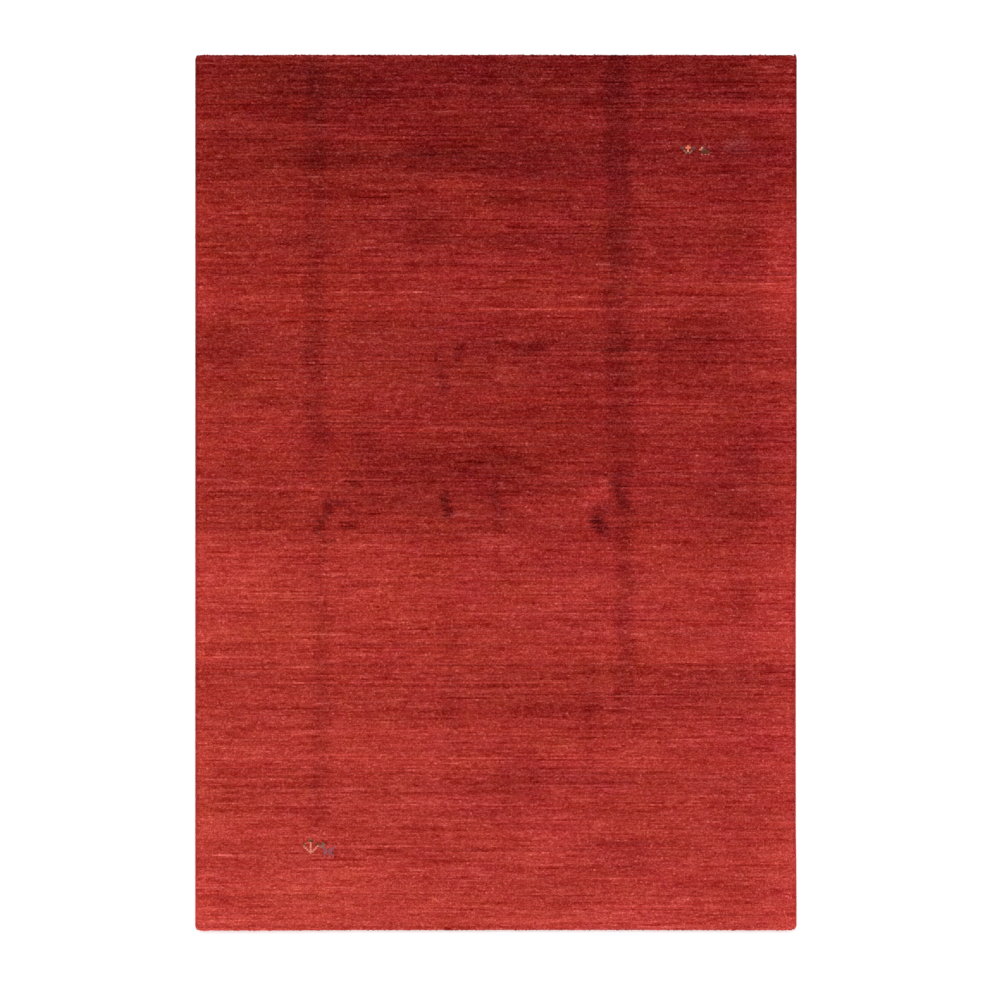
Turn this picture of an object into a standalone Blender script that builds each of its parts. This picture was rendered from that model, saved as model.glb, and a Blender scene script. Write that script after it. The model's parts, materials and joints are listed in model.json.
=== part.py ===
"""Gabbeh rug lying flat: one knotted pile cloth with an overcast wool cord along each long side.

Metres, +Z up. +Y runs along the rug and +X across it. The origin is the middle of the underside.
The cloth is modelled as its base and its clipped pile together, so the top of the solid is the
top of the pile. At each end the pile stops just short of the turned-under end of the base.
"""

import math
from collections import namedtuple

import bmesh
import bpy

# Driving dimensions
WIDTH = 1.400
LENGTH = 2.040
PILE_TOP = 0.0120
CORD_WIDTH = 0.0068
CORD_HEIGHT = 0.0070
CORD_OVERHANG = 0.0019
CORNER_ROUNDING = 0.0040
GAP = 0.00032

# Places that follow from them
HALF_WIDTH = WIDTH / 2
HALF_LENGTH = LENGTH / 2
CLOTH_SIDE = HALF_WIDTH - CORD_WIDTH - GAP
CLOTH_TOP_END = HALF_LENGTH - CORD_OVERHANG
CLOTH_BOTTOM_END = -HALF_LENGTH

# How finely the cloth and the cords follow their shape
LINE_PITCH = 0.075
CORD_SIDES = 10
PRESS_LINES = (-1.0, -0.5, 0.0, 0.5, 1.0)

# The edge of the pile in section: how high the cloth stands at each distance in from its edge
Rise = namedtuple("Rise", "inset height")
SIDE_SECTION = (
    Rise(inset=0.0000, height=0.0066),
    Rise(inset=0.0014, height=0.0095),
    Rise(inset=0.0040, height=0.0113),
    Rise(inset=0.0090, height=0.0125),
)
END_SECTION = (
    Rise(inset=0.0000, height=0.0034),
    Rise(inset=0.0008, height=0.0045),
    Rise(inset=0.0023, height=0.0048),
    Rise(inset=0.0034, height=0.0088),
    Rise(inset=0.0060, height=0.0110),
    Rise(inset=0.0110, height=0.0125),
)

# The outline as woven: how far each edge lies in from a true rectangle, at places along it
SideStation = namedtuple("SideStation", "y left_in right_in")
SIDE_STATIONS = (
    SideStation(y=-1.020, left_in=0.0002, right_in=0.0004),
    SideStation(y=-0.900, left_in=0.0000, right_in=0.0005),
    SideStation(y=-0.780, left_in=0.0002, right_in=0.0021),
    SideStation(y=-0.480, left_in=0.0000, right_in=0.0023),
    SideStation(y=-0.200, left_in=0.0003, right_in=0.0022),
    SideStation(y=-0.080, left_in=0.0001, right_in=0.0010),
    SideStation(y=0.040, left_in=0.0000, right_in=0.0001),
    SideStation(y=0.560, left_in=0.0003, right_in=0.0000),
    SideStation(y=1.020, left_in=0.0000, right_in=0.0001),
)
EndStation = namedtuple("EndStation", "x bottom_in top_in")
END_STATIONS = (
    EndStation(x=-0.700, bottom_in=0.0002, top_in=0.0005),
    EndStation(x=-0.550, bottom_in=0.0000, top_in=0.0010),
    EndStation(x=-0.456, bottom_in=0.0001, top_in=0.0000),
    EndStation(x=-0.360, bottom_in=0.0012, top_in=0.0007),
    EndStation(x=0.010, bottom_in=0.0012, top_in=0.0004),
    EndStation(x=0.240, bottom_in=0.0018, top_in=0.0007),
    EndStation(x=0.400, bottom_in=0.0010, top_in=0.0005),
    EndStation(x=0.692, bottom_in=0.0007, top_in=0.0012),
    EndStation(x=0.693, bottom_in=0.0007, top_in=0.0000),
    EndStation(x=0.700, bottom_in=0.0007, top_in=0.0000),
)

# Troughs pressed into the pile where the rug was folded: along its length, and once across
Press = namedtuple("Press", "at depth half_width")
LENGTHWISE_PRESSES = (
    Press(at=-0.421, depth=0.0013, half_width=0.024),
    Press(at=0.300, depth=0.0012, half_width=0.020),
)
CROSSWISE_PRESSES = (Press(at=-0.025, depth=0.0009, half_width=0.022),)

# Long low swells of the pile, each a wave with its own direction
Swell = namedtuple("Swell", "rise length_x length_y phase")
SWELLS = (
    Swell(rise=0.00030, length_x=0.95, length_y=1.60, phase=0.4),
    Swell(rise=0.00022, length_x=-0.58, length_y=0.83, phase=2.1),
    Swell(rise=0.00015, length_x=1.90, length_y=-0.47, phase=4.0),
)

# The cords' ends: how far each reaches past the cloth's end, and how it thins out round the corner
CordEnd = namedtuple("CordEnd", "past thins_over tip_width tip_height")
CORD_ENDS = {
    ("left", "bottom"): CordEnd(past=-0.0012, thins_over=0.0105, tip_width=0.0016, tip_height=0.0040),
    ("right", "bottom"): CordEnd(past=-0.0012, thins_over=0.0110, tip_width=0.0016, tip_height=0.0040),
    ("left", "top"): CordEnd(past=-0.0004, thins_over=0.0160, tip_width=0.0022, tip_height=0.0042),
    ("right", "top"): CordEnd(past=CORD_OVERHANG, thins_over=0.0140, tip_width=0.0024, tip_height=0.0050),
}
CORD_END_STEPS = 6
CORD_CENTRE_SHARE = 0.45

# Finishes
Wool = namedtuple("Wool", "name colour roughness")
PILE_WOOL = Wool("pile_wool", (0.342, 0.026, 0.021, 1.0), 0.92)
CORD_WOOL = Wool("cord_wool", (0.440, 0.042, 0.040, 1.0), 0.85)


def read(table, column, place):
    """A column of a table at a place between its stations, which are its first column."""
    if place <= table[0][0]:
        return getattr(table[0], column)
    for before, after in zip(table, table[1:]):
        if place <= after[0]:
            share = (place - before[0]) / (after[0] - before[0])
            low, high = getattr(before, column), getattr(after, column)
            return low + (high - low) * share
    return getattr(table[-1], column)


def lay(x, y):
    """Moves a point of the true rectangle to where the uneven edges pull it."""
    side_in = read(SIDE_STATIONS, "right_in" if x > 0 else "left_in", y)
    end_in = read(END_STATIONS, "top_in" if y > 0 else "bottom_in", x)
    return x * (1 - side_in / HALF_WIDTH), y * (1 - end_in / HALF_LENGTH)


def press_depth(presses, place):
    return sum(press.depth * math.exp(-(((place - press.at) / press.half_width) ** 2)) for press in presses)


def swell_height(x, y):
    turns = ((x / swell.length_x + y / swell.length_y, swell) for swell in SWELLS)
    return sum(swell.rise * math.sin(math.tau * turn + swell.phase) for turn, swell in turns)


def pile_height(x, y):
    """How high the pile's top stands: its level, its swells and presses, and its rounded edges."""
    level = PILE_TOP + swell_height(x, y)
    level -= press_depth(LENGTHWISE_PRESSES, x) + press_depth(CROSSWISE_PRESSES, y)
    from_side = CLOTH_SIDE - abs(x)
    from_end = min(CLOTH_TOP_END - y, y - CLOTH_BOTTOM_END)
    return min(level, read(SIDE_SECTION, "height", from_side), read(END_SECTION, "height", from_end))


def section_lines(low, high, section, presses):
    """The places, between two edges, where the cloth's surface bends and so needs a line."""
    bends = [low + rise.inset for rise in section[1:]] + [high - rise.inset for rise in section[1:]]
    for press in presses:
        bends += [press.at + share * press.half_width for share in PRESS_LINES]
    count = round((high - low) / LINE_PITCH)
    even = [low + (high - low) * step / count for step in range(1, count)]
    clear = [place for place in even if min(abs(place - bend) for bend in bends) > LINE_PITCH / 4]
    return sorted(bends + clear)


X_LINES = section_lines(-CLOTH_SIDE, CLOTH_SIDE, SIDE_SECTION, LENGTHWISE_PRESSES)
Y_LINES = section_lines(CLOTH_BOTTOM_END, CLOTH_TOP_END, END_SECTION, CROSSWISE_PRESSES)


def wool_material(wool):
    material = bpy.data.materials.new(wool.name)
    material.use_nodes = True
    surface = material.node_tree.nodes["Principled BSDF"]
    surface.inputs["Base Color"].default_value = wool.colour
    surface.inputs["Roughness"].default_value = wool.roughness
    surface.inputs["Metallic"].default_value = 0.0
    material.diffuse_color = wool.colour
    return material


def finish_object(name, shape, wool):
    """Turns a bmesh into a named object with its faces pointing out and its soft edges smooth."""
    bmesh.ops.recalc_face_normals(shape, faces=shape.faces)
    mesh = bpy.data.meshes.new(name)
    shape.to_mesh(mesh)
    shape.free()
    mesh.shade_smooth()
    mesh.set_sharp_from_angle(angle=math.radians(50))
    mesh.materials.append(wool_material(wool))
    piece = bpy.data.objects.new(name, mesh)
    bpy.context.scene.collection.objects.link(piece)
    return piece


def cut_across(shape, place, direction):
    everything = list(shape.verts) + list(shape.edges) + list(shape.faces)
    point = [place * part for part in direction]
    bmesh.ops.bisect_plane(shape, geom=everything, dist=1e-6, plane_co=point, plane_no=direction)


def knotted_cloth():
    """The cloth and its pile: a slab cut along its lines, then laid to its section and outline."""
    shape = bmesh.new()
    bmesh.ops.create_cube(shape, size=1.0)
    bmesh.ops.scale(shape, verts=shape.verts, vec=(2 * CLOTH_SIDE, CLOTH_TOP_END - CLOTH_BOTTOM_END, PILE_TOP))
    middle = (0.0, (CLOTH_TOP_END + CLOTH_BOTTOM_END) / 2, PILE_TOP / 2)
    bmesh.ops.translate(shape, verts=shape.verts, vec=middle)
    upright = [edge for edge in shape.edges if abs(edge.verts[0].co.z - edge.verts[1].co.z) > PILE_TOP / 2]
    bmesh.ops.bevel(
        shape, geom=upright, offset=CORNER_ROUNDING, segments=3, profile=0.5, affect="EDGES", material=-1
    )
    for x in X_LINES:
        cut_across(shape, x, (1.0, 0.0, 0.0))
    for y in Y_LINES:
        cut_across(shape, y, (0.0, 1.0, 0.0))
    shape.normal_update()
    underside = [face for face in shape.faces if face.normal.z < -0.5]
    bmesh.ops.dissolve_faces(shape, faces=underside, use_verts=False)
    for vert in shape.verts:
        height = pile_height(vert.co.x, vert.co.y) if vert.co.z > PILE_TOP / 2 else 0.0
        x, y = lay(vert.co.x, vert.co.y)
        vert.co = (x, y, height)
    shape.normal_update()
    underside = [face for face in shape.faces if face.normal.z < -0.5]
    bmesh.ops.triangulate(shape, faces=underside, ngon_method="BEAUTY")
    return finish_object("rug_field", shape, PILE_WOOL)


def thinning(end, from_tip):
    """How full the cord is near one of its ends: nothing at the tip, and whole where it stops thinning."""
    if from_tip >= end.thins_over:
        return 1.0
    return math.sqrt(1.0 - (1.0 - from_tip / end.thins_over) ** 2)


def end_steps(end):
    """Distances from a cord's tip to the rings that round it off, closer together near the tip."""
    turns = [math.radians(90.0) * step / CORD_END_STEPS for step in range(CORD_END_STEPS + 1)]
    return [end.thins_over * (1.0 - math.cos(turn)) for turn in turns]


def side_cord(side, sign):
    """An overcast side cord: a ring swept along the edge, flat below and thinned round both corners."""
    bottom, top = CORD_ENDS[(side, "bottom")], CORD_ENDS[(side, "top")]
    low, high = CLOTH_BOTTOM_END - bottom.past, CLOTH_TOP_END + top.past
    rings = [low + step for step in end_steps(bottom)] + [high - step for step in end_steps(top)]
    clear = LINE_PITCH / 12
    rings += [y for y in Y_LINES if low + bottom.thins_over + clear < y < high - top.thins_over - clear]
    rings.sort()
    shape = bmesh.new()
    bmesh.ops.create_circle(shape, cap_ends=False, segments=CORD_SIDES, radius=1.0)
    half_step = math.pi / CORD_SIDES
    for vert in shape.verts:
        turn = math.atan2(vert.co.y, vert.co.x) + half_step
        vert.co = (math.cos(turn), 0.0, math.sin(turn))
    bmesh.ops.spin(
        shape, geom=list(shape.edges), cent=(0, 0, 0), axis=(0, 1, 0), dvec=(0, 1, 0), angle=0.0,
        steps=len(rings) - 1, use_merge=False,
    )
    for vert in shape.verts:
        y = rings[round(vert.co.y)]
        near, from_tip = (bottom, y - low) if y < 0 else (top, high - y)
        full = thinning(near, from_tip)
        width = near.tip_width + (CORD_WIDTH - near.tip_width) * full
        height = near.tip_height + (CORD_HEIGHT - near.tip_height) * full
        inner = HALF_WIDTH - CORD_WIDTH
        across = inner + width * (1 + vert.co.x) / 2
        share_up = CORD_CENTRE_SHARE + (1 - CORD_CENTRE_SHARE) * vert.co.z
        x, y = lay(sign * across, y)
        vert.co = (x, y, max(0.0, height * share_up))
    bmesh.ops.holes_fill(shape, edges=shape.edges, sides=0)
    return finish_object("side_cord_" + side, shape, CORD_WOOL)


def main():
    for leftover in list(bpy.data.objects):
        bpy.data.objects.remove(leftover, do_unlink=True)
    knotted_cloth()
    side_cord("left", -1)
    side_cord("right", 1)


main()
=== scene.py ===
"""Gabbeh rug lying flat: knotted wool pile on a woven base, overcast side cords and turned-under ends.

Metres, +Z up. +Y runs along the rug and +X across it, and the origin is the middle of the underside.
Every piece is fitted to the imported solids: their outline, their height and the cords' thinned ends.
"""

import json
import math
from collections import namedtuple

import bmesh
import bpy
import numpy as np
from bpy.props import FloatProperty, FloatVectorProperty, IntProperty, PointerProperty
from bpy.types import Operator, Panel, PropertyGroup
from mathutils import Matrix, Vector
from mathutils.bvhtree import BVHTree

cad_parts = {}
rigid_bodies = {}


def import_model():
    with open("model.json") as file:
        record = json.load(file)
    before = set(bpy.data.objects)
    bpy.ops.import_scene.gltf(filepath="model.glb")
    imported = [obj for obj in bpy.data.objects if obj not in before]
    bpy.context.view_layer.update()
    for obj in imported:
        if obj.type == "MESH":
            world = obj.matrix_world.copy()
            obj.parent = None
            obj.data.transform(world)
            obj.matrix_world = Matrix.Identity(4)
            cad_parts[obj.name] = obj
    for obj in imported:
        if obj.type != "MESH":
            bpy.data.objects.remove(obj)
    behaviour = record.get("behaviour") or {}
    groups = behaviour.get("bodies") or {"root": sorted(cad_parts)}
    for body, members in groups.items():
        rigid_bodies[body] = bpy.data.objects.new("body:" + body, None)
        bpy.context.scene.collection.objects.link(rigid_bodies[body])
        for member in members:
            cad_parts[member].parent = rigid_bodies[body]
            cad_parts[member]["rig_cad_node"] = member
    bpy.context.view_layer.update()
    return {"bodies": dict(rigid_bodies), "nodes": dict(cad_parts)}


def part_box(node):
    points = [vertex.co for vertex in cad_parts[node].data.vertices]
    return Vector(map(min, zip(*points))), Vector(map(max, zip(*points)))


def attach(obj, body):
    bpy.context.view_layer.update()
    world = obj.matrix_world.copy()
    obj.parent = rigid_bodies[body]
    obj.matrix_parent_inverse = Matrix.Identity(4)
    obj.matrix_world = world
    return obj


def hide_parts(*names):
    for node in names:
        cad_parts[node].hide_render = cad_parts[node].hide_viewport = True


bl_info = {
    "name": "Gabbeh rug",
    "version": (1, 0, 0),
    "blender": (4, 5, 0),
    "location": "View3D > Sidebar > Rug",
    "description": "Knots, overcasts and finishes a gabbeh rug that lies flat",
    "category": "Add Mesh",
}

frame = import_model()
CLOTH_LOW, CLOTH_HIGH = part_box("rug_field")
BODY = next(iter(frame["bodies"]))

# Yarn shades from dark to light madder red, as screen colours. A shade is a number from 0 to 1.
YarnShade = namedtuple("YarnShade", "shade colour")
YARN_SHADES = (
    YarnShade(0.30, (77, 9, 10)),
    YarnShade(0.40, (102, 18, 18)),
    YarnShade(0.50, (128, 29, 27)),
    YarnShade(0.60, (153, 41, 36)),
    YarnShade(0.70, (179, 55, 48)),
    YarnShade(0.80, (204, 70, 62)),
    YarnShade(0.92, (235, 90, 80)),
)

# The dye lots along the rug, from its bottom end to its top end
DyeLot = namedtuple("DyeLot", "y shade")
DYE_LOTS = (
    DyeLot(-1.02, 0.79),
    DyeLot(-0.92, 0.74),
    DyeLot(-0.80, 0.73),
    DyeLot(-0.72, 0.70),
    DyeLot(-0.66, 0.69),
    DyeLot(-0.64, 0.73),
    DyeLot(-0.54, 0.69),
    DyeLot(-0.42, 0.66),
    DyeLot(-0.39, 0.71),
    DyeLot(-0.14, 0.68),
    DyeLot(-0.08, 0.62),
    DyeLot(0.05, 0.61),
    DyeLot(0.24, 0.60),
    DyeLot(0.34, 0.58),
    DyeLot(0.39, 0.59),
    DyeLot(0.42, 0.62),
    DyeLot(0.51, 0.62),
    DyeLot(0.55, 0.59),
    DyeLot(0.62, 0.56),
    DyeLot(0.66, 0.58),
    DyeLot(0.74, 0.53),
    DyeLot(0.78, 0.51),
    DyeLot(0.89, 0.53),
    DyeLot(0.93, 0.49),
    DyeLot(1.02, 0.48),
)

# How much lighter the pile is towards its sides
SideFade = namedtuple("SideFade", "x lighter")
SIDE_FADES = (
    SideFade(-0.70, 0.06),
    SideFade(-0.64, 0.02),
    SideFade(-0.30, 0.01),
    SideFade(0.00, -0.01),
    SideFade(0.45, 0.00),
    SideFade(0.57, -0.01),
    SideFade(0.64, 0.02),
    SideFade(0.70, 0.05),
)

# Fold marks, pressed and shaded places in the pile, each soft-edged, turned by tilt degrees
Mark = namedtuple("Mark", "x y half_x half_y tilt lighter paler", defaults=(0.0,))
# The long folds are real creases; their darker colour is painted shade of the pressed, leaning pile.
LONG_FOLDS_PAINTED_SHADE = (
    Mark(-0.42, 0.80, 0.035, 0.36, 0, -0.05),
    Mark(-0.42, 0.30, 0.035, 0.36, 0, -0.06),
    Mark(-0.41, -0.48, 0.03, 0.42, 0, -0.05),
    Mark(0.285, 0.82, 0.045, 0.36, 0, -0.07),
    Mark(0.285, 0.34, 0.045, 0.36, 0, -0.07),
    Mark(0.30, -0.02, 0.035, 0.18, 0, -0.05),
    Mark(0.30, -0.30, 0.03, 0.26, 0, -0.06),
    Mark(0.22, -0.56, 0.025, 0.22, 0, -0.03),
    Mark(-0.10, -0.45, 0.025, 0.22, 0, -0.03),
)
LEAF_SHAPED_MARK = (
    Mark(0.245, -0.08, 0.022, 0.038, 50, -0.16),
    Mark(0.235, -0.065, 0.025, 0.012, 0, -0.08),
    Mark(0.245, -0.045, 0.035, 0.018, 0, -0.07),
    Mark(0.295, 0.00, 0.02, 0.06, 25, -0.06),
    Mark(0.30, -0.02, 0.02, 0.025, 0, -0.05),
    Mark(0.235, 0.00, 0.06, 0.035, 20, 0.06),
)
ARCHED_MARK = (
    Mark(-0.41, -0.085, 0.015, 0.035, 0, -0.11),
    Mark(-0.395, -0.04, 0.014, 0.04, -28, -0.10),
    Mark(-0.36, -0.02, 0.035, 0.014, 0, -0.10),
    Mark(-0.335, -0.04, 0.025, 0.015, 0, -0.05),
    Mark(-0.345, -0.075, 0.025, 0.014, 0, -0.10),
    Mark(-0.43, 0.00, 0.035, 0.025, 0, 0.05),
    Mark(-0.33, 0.015, 0.02, 0.012, 0, -0.07),
    Mark(-0.40, -0.145, 0.015, 0.035, 0, -0.05),
    Mark(-0.385, -0.115, 0.02, 0.008, 0, -0.06),
)
SHADED_PLACES = (
    Mark(-0.39, 0.92, 0.23, 0.08, 0, -0.04),
    Mark(0.58, 0.895, 0.15, 0.02, 0, 0.06),
    Mark(0.65, 0.96, 0.10, 0.06, 0, 0.05),
    Mark(-0.25, 0.775, 0.33, 0.035, 0, -0.05),
    Mark(-0.17, 0.62, 0.08, 0.08, 0, -0.03),
    Mark(0.15, 0.80, 0.19, 0.09, 0, -0.02),
    Mark(-0.10, 0.70, 0.09, 0.04, 0, 0.04),
    Mark(0.15, 0.585, 0.24, 0.05, 0, -0.03),
    Mark(0.66, 0.52, 0.06, 0.17, 0, 0.05),
    Mark(0.08, 0.33, 0.06, 0.025, 10, -0.07),
    Mark(0.46, 0.33, 0.12, 0.06, 0, -0.06),
    Mark(-0.63, 0.35, 0.09, 0.07, 0, -0.04),
    Mark(0.37, 0.365, 0.33, 0.045, 0, -0.03),
    Mark(-0.13, 0.29, 0.015, 0.06, 4, -0.06),
    Mark(-0.09, 0.315, 0.015, 0.045, -12, -0.06),
    Mark(-0.115, 0.24, 0.02, 0.02, 0, -0.08),
    Mark(0.43, 0.20, 0.12, 0.02, 0, 0.05),
    Mark(-0.58, 0.14, 0.15, 0.08, 0, 0.05),
    Mark(-0.305, 0.11, 0.045, 0.08, 0, -0.04),
    Mark(0.565, 0.085, 0.05, 0.035, 0, -0.06),
    Mark(-0.11, 0.06, 0.28, 0.09, 0, -0.07),
    Mark(0.56, -0.03, 0.12, 0.09, 0, -0.04),
    Mark(-0.12, -0.035, 0.018, 0.045, 0, -0.13),
    Mark(0.00, -0.03, 0.02, 0.075, 4, -0.06),
    Mark(0.135, -0.045, 0.13, 0.05, 0, 0.04),
    Mark(-0.20, -0.03, 0.17, 0.04, 0, -0.04),
    Mark(-0.60, -0.20, 0.12, 0.08, 0, 0.04),
    Mark(-0.20, -0.24, 0.17, 0.12, 0, 0.02),
    Mark(0.57, -0.25, 0.035, 0.07, 0, -0.04),
    Mark(0.24, -0.48, 0.42, 0.11, 0, -0.02),
    Mark(0.06, -0.66, 0.08, 0.08, 0, -0.03),
    Mark(0.27, -0.84, 0.13, 0.055, 0, -0.03),
)
ROUND_PATCH = (
    Mark(0.56, 0.805, 0.035, 0.035, 0, -0.03, 0.04),
    Mark(0.56, 0.805, 0.035, 0.035, 45, -0.03, 0.04),
)
MARKS = LONG_FOLDS_PAINTED_SHADE + LEAF_SHAPED_MARK + ARCHED_MARK + SHADED_PLACES + ROUND_PATCH

# How long, in knots, the knotter keeps to one length of yarn, and how far such lengths differ
YarnRun = namedtuple("YarnRun", "knots shade_spread pale_spread")
YARN_RUNS = (
    YarnRun(1.0, 0.003, 0.015),
    YarnRun(4.0, 0.004, 0.018),
    YarnRun(14.0, 0.008, 0.015),
    YarnRun(60.0, 0.013, 0.012),
    YarnRun(200.0, 0.011, 0.006),
)
FLECK_SHARE = 0.020
FLECK_LIGHTER = 0.080

# Charts of the woven motifs, one letter a knot, read from the top row down
MOTIF_WOOLS = {
    "c": "coral",
    "g": "leaf_green",
    "d": "dark_olive",
    "o": "orange",
    "b": "grey_blue",
    "m": "mauve",
    "s": "sage",
    "p": "rose",
}
Motif = namedtuple("Motif", "x y chart")
PLANT = Motif(
    -0.43, -0.825,
    (
        "....g....",
        "...gdd...",
        "d...c...d",
        "gg..c..dg",
        "c...c...c",
        ".c..c..c.",
        "..c.c.c..",
        "...ccc...",
        "....o....",
    ),
)
GRAZING_ANIMAL = Motif(
    -0.39, -0.83,
    (
        "..s.d.....",
        "..ss......",
        "sss......p",
        "..ms...mm.",
        "...ms.mmm.",
        "...mmmmm..",
        "...sm.mmd.",
        "...m..m.m.",
        "...p..p.p.",
    ),
)
FLOWER = Motif(
    0.448, 0.797,
    (
        "....o....",
        "bb.ooo.bb",
        ".b..o..b.",
        "..s.o.s..",
        "...sds...",
    ),
)
SMALL_ANIMAL = Motif(
    0.485, 0.795,
    (
        "...b.....",
        "..ob.....",
        ".osbb....",
        "..ddddd..",
        "..ddddd..",
        "..p.p.p..",
    ),
)
MOTIFS = (PLANT, GRAZING_ANIMAL, FLOWER, SMALL_ANIMAL)


def metres(name, use, default, least=0.0):
    """A length in metres as a setting."""
    return FloatProperty(name=name, description=use, default=default, min=least, unit="LENGTH")


def wool_colour(name, use, default):
    """A wool's colour as a setting."""
    return FloatVectorProperty(
        name=name, description=use, subtype="COLOR", default=default, min=0.0, max=1.0,
    )


class ClothSizes(PropertyGroup):
    """Sizes of the knotted pile and the woven base under it."""

    knot_width: metres("Knot width", "From one knot to the next across the rug", 0.0040, 0.002)
    row_height: metres("Row height", "From one row of knots to the next", 0.0040, 0.002)
    tuft_rise: metres("Tuft rise", "How far a tuft's tip stands above the gaps round it", 0.0015)
    tip_wander: metres("Tip wander", "How far the tips and gaps stray from their places", 0.0005)
    base_thickness: metres("Base thickness", "Thickness of the woven base under the pile", 0.0044, 0.001)
    end_width: metres("Turned end", "How much of the flat-woven end shows past the pile", 0.0024)
    edge_pile: metres("Edge pile", "Least length of pile, along the rug's edges", 0.0050)
    corner_radius: metres("Corner radius", "Rounding of the pile's corners", 0.008)
    back_relief: metres("Back relief", "How far the knots stand out of the underside", 0.0004)
    strips: IntProperty(
        name="Pile strips", description="Lengthwise strips that the pile is made in",
        default=6, min=4, max=12,
    )
    seed: IntProperty(name="Yarn seed", description="Picks the run of the yarns", default=11, min=0)


class CordSizes(PropertyGroup):
    """Sizes of the overcast side cords and of the stitched ends."""

    wrap_pitch: metres("Wrap pitch", "From one wrap of the side cord to the next", 0.0034, 0.002)
    wrap_relief: metres("Wrap relief", "Depth of the grooves between the wraps", 0.00045)
    wrap_slant: metres("Wrap slant", "How far a wrap runs along the cord as it crosses it", 0.0011)
    rib_pitch: metres("Rib pitch", "From one rib of the turned end to the next", 0.0036, 0.002)
    stitch_pitch: metres("Stitch pitch", "From one stitch over the turned end to the next", 0.0075, 0.003)


class WoolColours(PropertyGroup):
    """Colours of the wools that are not the field's reds."""

    coral: wool_colour("Coral", "Motif wool", (1.0, 0.34, 0.26))
    leaf_green: wool_colour("Leaf green", "Motif wool", (0.30, 0.15, 0.06))
    dark_olive: wool_colour("Dark olive", "Motif wool", (0.16, 0.05, 0.02))
    orange: wool_colour("Orange", "Motif wool", (1.0, 0.28, 0.16))
    grey_blue: wool_colour("Grey blue", "Motif wool", (0.22, 0.08, 0.08))
    mauve: wool_colour("Mauve", "Motif wool", (0.46, 0.11, 0.14))
    sage: wool_colour("Sage", "Motif wool", (0.35, 0.19, 0.14))
    rose: wool_colour("Rose", "Motif wool", (0.66, 0.13, 0.12))
    undyed: wool_colour("Undyed", "Bare warp yarn", (0.86, 0.72, 0.56))


class StageSizes(PropertyGroup):
    """The floor, the lights and the camera."""

    view_width: metres("View width", "Width of floor that the square picture takes in", 2.308, 1.0)
    view_offset: FloatProperty(
        name="View offset", description="How far along the rug the picture's middle lies from its origin",
        default=-0.0088, unit="LENGTH",
    )
    lens: FloatProperty(name="Lens", description="Focal length in millimetres", default=120.0, min=20.0)
    floor_size: metres("Floor", "Side of the floor", 40.0)
    sky: FloatProperty(name="Sky", description="Strength of the even light from all round", default=0.52)
    lamp_power: FloatProperty(name="Lamps", description="Power of each soft lamp in watts", default=72.0)


class Solid:
    """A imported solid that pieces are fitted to, found by where straight lines meet it."""

    def __init__(self, node):
        mesh = frame["nodes"][node].data
        self.low, self.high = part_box(node)
        points = [vert.co for vert in mesh.vertices]
        self.tree = BVHTree.FromPolygons(points, [face.vertices for face in mesh.polygons])

    def meets(self, start, towards):
        """Where a line from outside first meets the solid, or None."""
        return self.tree.ray_cast(Vector(start), Vector(towards).normalized())[0]

    def side(self, sign, y, z):
        hit = self.meets((sign * 2 * self.high.x + sign, y, z), (-sign, 0, 0))
        return hit.x if hit else (self.high.x if sign > 0 else self.low.x)

    def sides(self, places, z):
        """How the left and the right side run, at places along the rug."""
        return [np.array([self.side(sign, y, z) for y in places]) for sign in (-1, 1)]

    def end(self, sign, x, z):
        hit = self.meets((x, sign * 2 * self.high.y, z), (0, -sign, 0))
        return hit.y if hit else (self.high.y if sign > 0 else self.low.y)

    def top(self, x, y):
        hit = self.meets((x, y, 1.0), (0, 0, -1))
        return hit.z if hit else 0.0


class Value:
    """A number that changes over a surface, on which plain arithmetic adds Math nodes."""

    def __init__(self, finish, socket):
        self.finish = finish
        self.socket = socket

    def math(self, operation, *others):
        sockets = {0: self, **dict(enumerate(others, 1))}
        node = self.finish.node("ShaderNodeMath", {"operation": operation}, sockets)
        return Value(self.finish, node.outputs[0])

    def __add__(self, other):
        return self.math("ADD", other)

    __radd__ = __add__

    def __mul__(self, other):
        return self.math("MULTIPLY", other)

    __rmul__ = __mul__

    def __sub__(self, other):
        return self.math("SUBTRACT", other)

    def __rsub__(self, other):
        return self.math("MULTIPLY", -1.0).math("ADD", other)


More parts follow.
